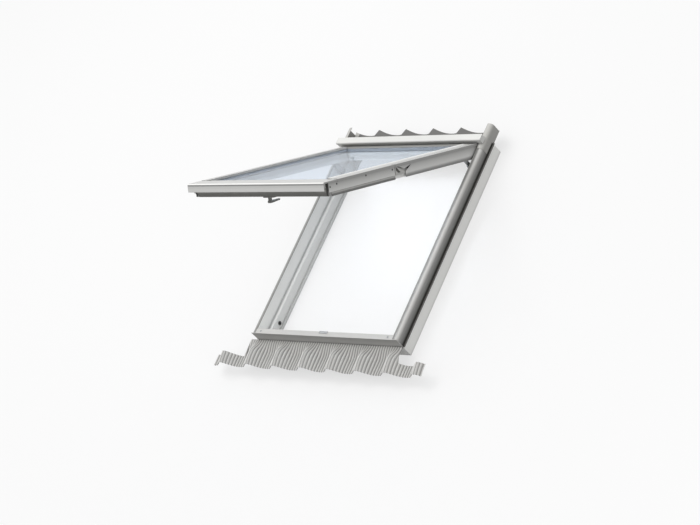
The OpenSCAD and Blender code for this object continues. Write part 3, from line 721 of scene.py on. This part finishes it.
def slice_off(piece: Object, place_mm: Sequence[float], way: Sequence[float]) -> None:
    """Cuts a piece by a plane and closes it, without the part that the plane's normal points to.

    Args:
        piece: Piece to cut.
        place_mm: Point of the plane, in millimetres.
        way: Normal of the plane.
    """
    choose(piece, Part.FACES, lambda place, normal: True)
    bpy.ops.mesh.bisect(plane_co=Vector(place_mm) * MM, plane_no=way, use_fill=True, clear_outer=True)


def score(piece: Object, place_mm: Sequence[float], way: Sequence[float]) -> None:
    """Adds edges to a piece where a plane meets it."""
    choose(piece, Part.FACES, lambda place, normal: True)
    bpy.ops.mesh.bisect(plane_co=Vector(place_mm) * MM, plane_no=way)


def soften(piece: Object, width_mm: float, segments: int = 2) -> None:
    """Rounds the sharp edges of a piece with an applied bevel.

    Args:
        piece: Piece to round.
        width_mm: Width of the bevel, in millimetres.
        segments: Steps of the bevel.
    """
    take(piece)
    bpy.ops.object.modifier_add(type="BEVEL")
    bevel = piece.modifiers[-1]
    bevel.width = width_mm * MM
    bevel.segments = segments
    bevel.limit_method = "ANGLE"
    bevel.angle_limit = math.radians(ROUND_DEG)
    bpy.ops.object.modifier_apply(modifier=bevel.name)


def carve(piece: Object, tool: Object) -> None:
    """Cuts the shape of a tool out of a piece and deletes the tool.

    Args:
        piece: Piece to cut.
        tool: Shape of the cut.
    """
    take(piece)
    bpy.ops.object.modifier_add(type="BOOLEAN")
    cut = piece.modifiers[-1]
    cut.operation = "DIFFERENCE"
    cut.solver = "EXACT"
    cut.object = tool
    bpy.ops.object.modifier_apply(modifier=cut.name)
    remove(tool)


def set_at(piece: Object, *steps: Matrix) -> Object:
    """Moves a piece by some steps and keeps the place in its mesh.

    Args:
        piece: Piece to move.
        *steps: Moves and turns, the first one first.

    Returns:
        The same piece.
    """
    for step in steps:
        piece.matrix_world = step @ piece.matrix_world
    return fix_place(piece)


def copy_of(piece: Object) -> Object:
    """Copies a piece with a mesh of its own.

    Args:
        piece: Piece to copy.

    Returns:
        The copy.
    """
    take(piece)
    bpy.ops.object.duplicate(linked=False)
    return bpy.context.object


def joined(name: str, pieces: Sequence[Object]) -> Object:
    """Joins pieces into the first one.

    Args:
        name: Name of the joined piece.
        pieces: Pieces to join.

    Returns:
        The joined piece.
    """
    take(*pieces)
    bpy.ops.object.join()
    bpy.context.object.name = name
    return bpy.context.object


def opened(piece: Object) -> Object:
    """Swings a piece that was modelled on the shut sash to where the open sash is."""
    return set_at(piece, Matrix.Translation(-HINGE), Matrix.Rotation(-math.radians(SASH_TURN), 4, "X"),
                  Matrix.Translation(HINGE))


def settle(piece: Object, finish: Finish, body: Body, stands_for: Sequence[str] = ()) -> None:
    """Finishes a piece: smooth shading, material and body.

    Args:
        piece: Finished mesh.
        finish: Its surface.
        body: Body that it rides on.
        stands_for: CAD nodes that it replaces.
    """
    fix_place(piece)
    bpy.ops.object.shade_smooth_by_angle(angle=math.radians(SMOOTH_DEG))
    piece.data.materials.clear()
    piece.data.materials.append(finish.material())
    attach(piece, body.value)
    if stands_for:
        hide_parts(*stands_for)
    take()
    LOG.info("made %s, on the %s", piece.name, body.value)


@dataclass(frozen=True)
class PanScrew:
    """Head of a pan screw with a cross recess, whose shares are of its radius or its rise."""

    name: str
    radius_mm: float
    rise_mm: float
    shank_mm: float = 0.4
    sides: int = 24
    rim_share: float = 0.55
    dome_shares: tuple[Pair, ...] = ((0.84, 0.28), (0.66, 0.13), (0.55, 0.04))
    wing_share: float = 0.52
    slot_share: float = 0.13
    floor_share: float = 0.35

    def build(self) -> Object:
        """Models the head upright on the origin, with a short shank.

        Returns:
            The screw.
        """
        rise = self.rise_mm
        head = start_round(self.name, self.radius_mm, -self.shank_mm, self.rim_share * rise, self.sides)
        for share, lift in self.dome_shares:
            choose(head, Part.FACES, lambda place, way: way.z > ALIGNED and place.z > rise / 2)
            pull(0.0, 0.0, lift * rise)
            narrow(head, share, share, 1.0)
        carve(head, self.recess())
        return head

    def recess(self) -> Object:
        """Models the cross that is cut into the head.

        Returns:
            The cross.
        """
        wing, half = self.wing_share * self.radius_mm, self.slot_share * self.radius_mm
        cross = start_block(self.name + "_recess", (-half, -half, self.floor_share * self.rise_mm),
                            (half, half, 2 * self.rise_mm))
        for x, y in ((1, 0), (-1, 0), (0, 1), (0, -1)):
            choose(cross, Part.FACES, lambda place, way: way.x * x + way.y * y > ALIGNED
                   and abs(place.x * y) + abs(place.y * x) < half / 2)
            pull(wing * x, wing * y, 0.0)
        return cross


@dataclass
class FixedFrame:
    """Rails, covers, hood and fittings that stay still."""

    fin_inset_mm: float = 0.2
    fin_foot_mm: float = 5.0
    fin_wide_mm: float = 2.8
    fin_seat_mm: float = 0.6
    fin_steps: tuple[Pair, ...] = ((0.7, 0.75), (0.3, 0.9))
    fin_round_mm: float = 0.35
    fin_span_mm: Pair = (-444.0, 444.0)
    screw_at_mm: tuple[Pair, ...] = ((-325.0, -456.25), (365.0, -456.25))
    screw: PanScrew = PanScrew("cover_screw", 3.9, 1.6)

    def build(self) -> None:
        """Models the edge fins and the screws of the bottom cover."""
        for side in Side:
            self.add_fin(side)
        model = self.screw.build()
        screws = [model, *(copy_of(model) for _ in self.screw_at_mm[1:])]
        for made, (x, y) in zip(screws, self.screw_at_mm):
            set_at(made, Matrix.Translation(Vector((x, y, COVER_TOP_MM)) * MM))
        settle(joined("cover_pan_screws", screws), ZINC, Body.FRAME, ["cover_screws"])

    def add_fin(self, side: Side) -> None:
        """Models the rubber fin on the inner edge of one side cover.

        Args:
            side: Hand of the cover.
        """
        low, high = (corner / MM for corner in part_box(f"side_cover_{side.word}"))
        edge = low.x if side is Side.RIGHT else high.x
        ends = sorted(edge + side.value * reach for reach in (self.fin_inset_mm, self.fin_foot_mm))
        first, last = self.fin_span_mm
        fin = start_block(f"edge_fin_{side.word}", (ends[0], first, high.z),
                          (ends[1], last, high.z + self.fin_seat_mm))
        score(fin, (edge + side.value * self.fin_wide_mm, 0.0, 0.0), ACROSS)
        choose(fin, Part.FACES, lambda place, way: way.z > ALIGNED
               and (place.x - edge) * side.value < self.fin_wide_mm)
        for rise, share in self.fin_steps:
            pull(0.0, 0.0, rise)
            narrow(fin, share, 1.0, 1.0)
        soften(fin, self.fin_round_mm)
        settle(fin, FIN_RUBBER, Body.FRAME)

    def dress(self) -> None:
        """Gives each node of the frame its finish."""
        paint(["frame_head", "frame_sill"], RAIL_TIMBER)
        paint(both("frame_stile"), STILE_TIMBER)
        paint(both("side_cover"), FRAME_LACQUER)
        paint(["bottom_cover"], FRONT_LACQUER)
        paint(["hood"], LIGHT_LACQUER)
        paint(both("hood_cap"), PLASTIC)
        paint(["frame_gasket"], SOFT_RUBBER)
        paint([*both("hinge_plate"), *both("stay_bracket"), *both("bracket_top"), *both("bracket_bottom"),
               "striker_plate", "cover_screws"], ZINC)
        paint(["bolt_bush"], DARK_STEEL)


@dataclass
class Flashing:
    """Sheets that lead rain round the frame."""

    def build(self) -> None:
        """Adds nothing: the sheets are the model's own."""

    def dress(self) -> None:
        """Gives each sheet its finish."""
        paint(["head_flashing"], HEAD_LACQUER)
        paint(both("side_flashing"), FLASHING_LACQUER)
        paint(["pleated_apron"], APRON_SHEET)


@dataclass
class HingeArms:
    """Arms, pivots and stays that carry the sash, with the boots' places counted from the pivot."""

    pivot_y_mm: float = 7.5
    pivot_z_mm: float = 106.5
    boot_x_mm: float = 366.0
    boot_thick_mm: float = 1.4
    boot_seat_mm: float = 0.3
    boot_y_mm: Pair = (-60.0, -20.0)
    boot_z_mm: Pair = (-20.0, 5.0)
    boot_top_mm: float = 4.0
    boot_top_way: Triple = (0.0, 17.0, 38.0)
    boot_under_mm: float = -9.0
    boot_under_way: Triple = (0.0, -7.0, -24.0)
    boot_rim_mm: float = 1.6
    boot_deep_mm: float = 0.7
    boot_round_mm: float = 0.3

    def build(self) -> None:
        """Models the rubber boot over the slot in front of each pivot."""
        for side in Side:
            self.add_boot(side)

    def add_boot(self, side: Side) -> None:
        """Models one boot, a wedge on the outer face of the pivot housing.

        Args:
            side: Hand of the pivot.
        """
        ends = beside(side, self.boot_x_mm - self.boot_seat_mm, self.boot_x_mm + self.boot_thick_mm)
        front, back = (self.pivot_y_mm + y for y in self.boot_y_mm)
        foot, top = (self.pivot_z_mm + z for z in self.boot_z_mm)
        boot = start_block(f"pivot_boot_{side.word}", (ends[0], front, foot), (ends[1], back, top))
        slice_off(boot, (0.0, front, self.pivot_z_mm + self.boot_top_mm), self.boot_top_way)
        slice_off(boot, (0.0, front, self.pivot_z_mm + self.boot_under_mm), self.boot_under_way)
        choose(boot, Part.FACES, lambda place, way: way.x * side.value > ALIGNED)
        bpy.ops.mesh.inset(thickness=self.boot_rim_mm * MM)
        pull(-self.boot_deep_mm * side.value, 0.0, 0.0)
        soften(boot, self.boot_round_mm)
        settle(opened(boot), DARK_RUBBER, Body.ARMS)

    def dress(self) -> None:
        """Gives each node of the arms its finish."""
        paint(both("arm_cover"), SASH_LACQUER)
        paint(both("pivot_housing"), HOUSING_PLASTIC)
        # The arms and pivot pins take the dark steel as painted shade in the recesses round the pivots.
        paint([*both("arm"), *both("pivot_pin")], DARK_STEEL)
        paint(both("stay"), ZINC)


@dataclass
class Sash:
    """Glazed leaf with its covers and seals."""

    top_mm: float = 122.0
    rail_front_mm: float = -439.0
    pad_x_mm: Pair = (350.4, 363.6)
    pad_y_mm: Pair = (-3.0, 0.2)
    pad_z_mm: Triple = (65.0, 84.0, 118.5)
    pad_split_mm: float = 356.5
    pad_ribs: int = 9
    rib_rim_mm: float = 0.8
    rib_deep_mm: float = 0.9
    joint_x_mm: Pair = (349.0, 367.0)
    joint_y_mm: Pair = (-392.6, -390.0)
    joint_z_mm: Pair = (121.6, 123.0)
    joint_shares: Pair = (0.96, 0.6)
    joint_round_mm: float = 0.3
    skirt_x_mm: float = 366.0
    skirt_span_mm: Pair = (-442.5, -60.5)
    screw_shares: tuple[float, ...] = (0.02, 0.12, 0.56, 0.965)
    screw_deeps_mm: tuple[float, ...] = (23.0, 17.0, 14.0, 18.0)
    screw_turn_deg: float = 35.0
    screw: PanScrew = PanScrew("side_screw", 3.5, 1.5)
    latch_half_mm: float = 27.0
    latch_y_mm: Pair = (-4.0, -2.0)
    latch_z_mm: Pair = (86.0, 92.5)
    latch_round_mm: float = 0.4
    tongue_half_mm: float = 9.0
    tongue_mm: float = 3.5
    tongue_share: float = 0.8
    panes: tuple[str, str] = ("outer_pane", "inner_pane")

    def build(self) -> None:
        """Models the pads, the joint strips, the screws and the latch."""
        for side in Side:
            self.add_pad(side)
            self.add_joint_strip(side)
        self.add_screws()
        self.add_latch()

    def add_pad(self, side: Side) -> None:
        """Models the ribbed rubber pad on the lower end of one stile.

        Args:
            side: Hand of the stile.
        """
        ends = beside(side, *self.pad_x_mm)
        front, back = (self.rail_front_mm + y for y in self.pad_y_mm)
        foot, step, top = self.pad_z_mm
        pad = start_block(f"corner_pad_{side.word}", (ends[0], front, step), (ends[1], back, top))
        score(pad, (MIDDLE_MM + side.value * self.pad_split_mm, 0.0, 0.0), ACROSS)
        choose(pad, Part.FACES, lambda place, way: way.z < -ALIGNED
               and (place.x - MIDDLE_MM) * side.value < self.pad_split_mm)
        pull(0.0, 0.0, foot - step)
        for rib in range(1, self.pad_ribs):
            score(pad, (0.0, 0.0, foot + rib * (top - foot) / self.pad_ribs), UP)
        choose(pad, Part.FACES, lambda place, way: way.y < -ALIGNED)
        bpy.ops.mesh.inset(thickness=self.rib_rim_mm * MM, use_individual=True)
        pull(0.0, self.rib_deep_mm, 0.0)
        settle(opened(pad), DARK_RUBBER, Body.SASH)

    def add_joint_strip(self, side: Side) -> None:
        """Models the rubber strip in the joint between the front cover and one side cover.

        Args:
            side: Hand of the side cover.
        """
        ends = beside(side, *self.joint_x_mm)
        (first, last), (foot, top) = self.joint_y_mm, self.joint_z_mm
        strip = start_block(f"joint_strip_{side.word}", (ends[0], first, foot), (ends[1], last, top))
        choose(strip, Part.FACES, lambda place, way: way.z > ALIGNED)
        narrow(strip, *self.joint_shares, 1.0)
        soften(strip, self.joint_round_mm)
        settle(opened(strip), DARK_RUBBER, Body.SASH)

    def add_screws(self) -> None:
        """Models one screw of the side covers and copies it to both skirts."""
        first, last = self.skirt_span_mm
        model = self.screw.build()
        screws = []
        for side in Side:
            for share, deep in zip(self.screw_shares, self.screw_deeps_mm):
                place = Vector((MIDDLE_MM + side.value * self.skirt_x_mm, first + share * (last - first),
                                self.top_mm - deep)) * MM
                turn = Matrix.Rotation(math.radians(self.screw_turn_deg) * len(screws), 4, "Z")
                lean = Matrix.Rotation(math.radians(90) * side.value, 4, "Y")
                screws.append(set_at(copy_of(model), turn, lean, Matrix.Translation(place)))
        remove(model)
        settle(opened(joined("side_pan_screws", screws)), DARK_STEEL, Body.SASH, ["side_screws"])

    def add_latch(self) -> None:
        """Models the latch on the front of the bottom rail, which meets the striker."""
        front, back = (self.rail_front_mm + y for y in self.latch_y_mm)
        foot, top = self.latch_z_mm
        latch = start_block("front_latch", (MIDDLE_MM - self.latch_half_mm, front, foot),
                            (MIDDLE_MM + self.latch_half_mm, back, top))
        for side in Side:
            score(latch, (MIDDLE_MM + side.value * self.tongue_half_mm, 0.0, 0.0), ACROSS)
        choose(latch, Part.FACES, lambda place, way: way.z < -ALIGNED
               and abs(place.x - MIDDLE_MM) < self.tongue_half_mm)
        pull(0.0, 0.0, -self.tongue_mm)
        narrow(latch, self.tongue_share, 1.0, 1.0)
        soften(latch, self.latch_round_mm)
        settle(opened(latch), DARK_PLASTIC, Body.SASH)

    def dress(self) -> None:
        """Gives each node of the sash its finish."""
        paint(["sash_top_rail", "sash_bottom_rail"], RAIL_TIMBER)
        paint(both("sash_stile"), SASH_TIMBER)
        paint(["front_cover"], FACE_LACQUER)
        paint([*both("sash_cover"), *both("upper_cover")], SASH_LACQUER)
        paint(["top_cover"], SHADED_LACQUER)
        paint(["bottom_seal"], RUBBER)
        paint(both("side_seal"), SEAL_RUBBER)
        paint(["glazing_gasket"], SOFT_RUBBER)
        paint([*both("pivot_bush"), "side_screws"], ZINC)
        paint(["glass_spacer"], SPACER)
        paint(self.panes, GLASS)
        for name in self.panes:
            frame["nodes"][name].visible_shadow = False


@dataclass
class LeverHandle:
    """Handle under the bottom rail, modelled about its spindle and then set in place."""

    spindle_y_mm: float = -392.0
    rail_under_mm: float = 62.5
    base_mm: Triple = (62.0, 26.0, 9.0)
    base_gap_mm: float = 0.1
    base_flat_mm: float = 0.5
    base_steps: int = 8
    base_rim_mm: float = 2.5
    base_deep_mm: float = 1.2
    base_round_mm: float = 0.7
    neck_mm: float = 12.0
    neck_radius_mm: float = 7.6
    neck_sides: int = 32
    neck_sunk_mm: float = 2.0
    neck_round_mm: float = 0.8
    neck_round_steps: int = 2
    grip_wide_mm: float = 16.0
    grip_thick_mm: float = 10.0
    grip_gap_mm: float = 0.5
    grip_heel_mm: Pair = (-8.5, 8.0)
    grip_steps: tuple[Pair, ...] = ((12.0, 0.94), (16.0, 0.86), (16.24, 0.88))
    grip_lift_mm: float = 0.6
    grip_round_mm: float = 3.2
    grip_round_steps: int = 4

    def build(self) -> None:
        """Models the base and the lever."""
        at = Matrix.Translation(Vector((MIDDLE_MM, self.spindle_y_mm, self.rail_under_mm)) * MM)
        settle(opened(set_at(self.base(), at)), HANDLE, Body.SASH, ["handle_base"])
        settle(opened(set_at(self.lever(), at)), HANDLE, Body.LEVER, ["handle_lever"])

    def base(self) -> Object:
        """Models the long round-ended base with its hollowed face.

        Returns:
            The base.
        """
        long, wide, thick = self.base_mm
        base = start_block("handle_plate", (-long / 2, -wide / 2, -thick),
                           (long / 2, wide / 2, -self.base_gap_mm))
        choose(base, Part.EDGES, lambda place, way: abs(way.z) > ALIGNED)
        bpy.ops.mesh.bevel(offset=(wide / 2 - self.base_flat_mm) * MM, segments=self.base_steps)
        choose(base, Part.FACES, lambda place, way: way.z < -ALIGNED)
        bpy.ops.mesh.inset(thickness=self.base_rim_mm * MM)
        pull(0.0, 0.0, self.base_deep_mm)
        soften(base, self.base_round_mm)
        return base

    def lever(self) -> Object:
        """Models the neck and the tapered grip.

        Returns:
            The lever.
        """
        level = -self.base_mm[2] - self.neck_mm
        neck = start_round("handle_neck", self.neck_radius_mm, level - self.neck_sunk_mm, -self.neck_sunk_mm,
                           self.neck_sides)
        choose(neck, Part.EDGES, lambda place, way: place.z < level)
        bpy.ops.mesh.bevel(offset=self.neck_round_mm * MM, segments=self.neck_round_steps)
        half, top = self.grip_wide_mm / 2, level - self.grip_gap_mm
        heel, toe = self.grip_heel_mm
        grip = start_block("handle_grip", (-half, heel, top - self.grip_thick_mm), (half, toe, top))
        for step, share in self.grip_steps:
            choose(grip, Part.FACES, lambda place, way: way.y > ALIGNED)
            pull(0.0, step, self.grip_lift_mm)
            narrow(grip, share, 1.0, share)
        soften(grip, self.grip_round_mm, self.grip_round_steps)
        return joined("handle_casting", [grip, neck])

    def dress(self) -> None:
        """Gives the nodes of the handle their finish."""
        paint(["handle_base", "handle_lever"], HANDLE)


@dataclass
class Studio:
    """Floor, soft light and the camera at the photograph's angle."""

    pitch_deg: float = 55.3376
    yaw_deg: float = 42.3784
    rise_deg: float = 1.3093
    distance_m: float = 9.6770
    target_m: Triple = (-0.13485, -0.0400, 0.0)
    lens_mm: float = 120.48
    sensor_mm: float = 36.0
    sight_m: float = 200.0
    floor_m: float = 60.0
    floor_colour: str = "#949494"
    floor_glow: float = 0.63
    sky_toward: Triple = (-0.15, 0.25, 0.95)
    sky_low: float = 0.30
    sky_high: float = 0.90
    lamp_m: float = 4.0
    lamp_away_m: float = 6.0
    key_toward: Triple = (-0.30, 0.20, 0.93)
    key_w: float = 130.0
    fill_toward: Triple = (0.85, -0.35, 0.40)
    fill_w: float = 62.0

    def build(self) -> None:
        """Makes the floor, the light and the camera."""
        self.lay_floor()
        self.light()
        self.set_camera()

    def lay_floor(self) -> None:
        """Lays a plain pale floor that still takes the object's shadow."""
        bpy.ops.mesh.primitive_plane_add(size=self.floor_m)
        floor = bpy.context.object
        floor.name = "floor"
        made = bpy.data.materials.new("pale_floor")
        made.use_nodes = True
        tree = made.node_tree
        tree.nodes.clear()
        matt = add_node(tree, "BsdfDiffuse", {"Color": linear(self.floor_colour)})
        path = add_node(tree, "LightPath")
        seen = add_node(tree, "Math",
                        links={0: path.outputs["Is Camera Ray"], 1: path.outputs["Is Glossy Ray"]})
        shown = add_node(tree, "Math", use_clamp=True,
                         links={0: seen.outputs["Value"], 1: path.outputs["Is Transmission Ray"]})
        level = add_node(tree, "Math", {1: self.floor_glow}, {0: shown.outputs["Value"]},
                         operation="MULTIPLY")
        glow = add_node(tree, "Emission", links={"Strength": level.outputs["Value"]})
        lit = add_node(tree, "AddShader", links={0: matt.outputs["BSDF"], 1: glow.outputs["Emission"]})
        add_node(tree, "OutputMaterial", links={"Surface": lit.outputs["Shader"]})
        floor.data.materials.append(made)

    def light(self) -> None:
        """Sets a sky that is brightest overhead, and hangs a soft key lamp and a softer fill."""
        world = bpy.data.worlds.new("soft_sky")
        world.use_nodes = True
        tree = world.node_tree
        tree.nodes.clear()
        where = add_node(tree, "TexCoord")
        lean = add_node(tree, "VectorMath", {1: Vector(self.sky_toward).normalized()},
                        {0: where.outputs["Generated"]}, operation="DOT_PRODUCT")
        level = add_node(tree, "MapRange",
                         {"From Min": -1.0, "To Min": self.sky_low, "To Max": self.sky_high},
                         {"Value": lean.outputs["Value"]})
        sky = add_node(tree, "Background", {"Color": WHITE}, {"Strength": level.outputs["Result"]})
        add_node(tree, "OutputWorld", links={"Surface": sky.outputs["Background"]})
        bpy.context.scene.world = world
        self.hang_lamp("key_lamp", self.key_toward, self.key_w)
        self.hang_lamp("fill_lamp", self.fill_toward, self.fill_w)

    def hang_lamp(self, name: str, toward: Triple, watts: float) -> None:
        """Hangs one large soft lamp that looks at the middle of the floor.

        Args:
            name: Name of the lamp.
            toward: Direction from the middle of the floor to the lamp.
            watts: Power of the lamp.
        """
        lamp = bpy.data.lights.new(name, "AREA")
        lamp.shape = "DISK"
        lamp.size = self.lamp_m
        lamp.energy = watts
        hung = bpy.data.objects.new(name, lamp)
        bpy.context.scene.collection.objects.link(hung)
        away = Vector(toward).normalized()
        hung.location = away * self.lamp_away_m
        hung.rotation_euler = away.to_track_quat("Z", "Y").to_euler()

    def set_camera(self) -> None:
        """Stands a level camera to the right of a window that lies at this pitch."""
        pitch, yaw, rise = (math.radians(a) for a in (self.pitch_deg, self.yaw_deg, self.rise_deg))
        plumb = Vector((0.0, math.sin(pitch), math.cos(pitch)))
        outward = Vector((0.0, -math.cos(pitch), math.sin(pitch)))
        level = math.sin(yaw) * Vector(ACROSS) + math.cos(yaw) * outward
        back = math.cos(rise) * level + math.sin(rise) * plumb
        right = plumb.cross(back).normalized()
        up = back.cross(right)
        lens = bpy.data.cameras.new("camera")
        lens.lens = self.lens_mm
        lens.sensor_width = self.sensor_mm
        lens.clip_end = self.sight_m
        camera = bpy.data.objects.new("camera", lens)
        bpy.context.scene.collection.objects.link(camera)
        place = Vector(self.target_m) + back * self.distance_m
        camera.matrix_world = Matrix.Translation(place) @ Matrix((right, up, back)).transposed().to_4x4()
        bpy.context.scene.camera = camera


def main() -> None:
    """Builds and dresses the window, piece by piece."""
    logging.basicConfig(level=logging.INFO, format="%(message)s")
    bpy.ops.object.select_all(action="DESELECT")
    bpy.context.scene.view_settings.view_transform = "Standard"
    Studio().build()
    for part in (FixedFrame(), Flashing(), HingeArms(), Sash(), LeverHandle()):
        part.dress()
        part.build()
        LOG.info("%s done", type(part).__name__)


if __name__ == "__main__":
    main()
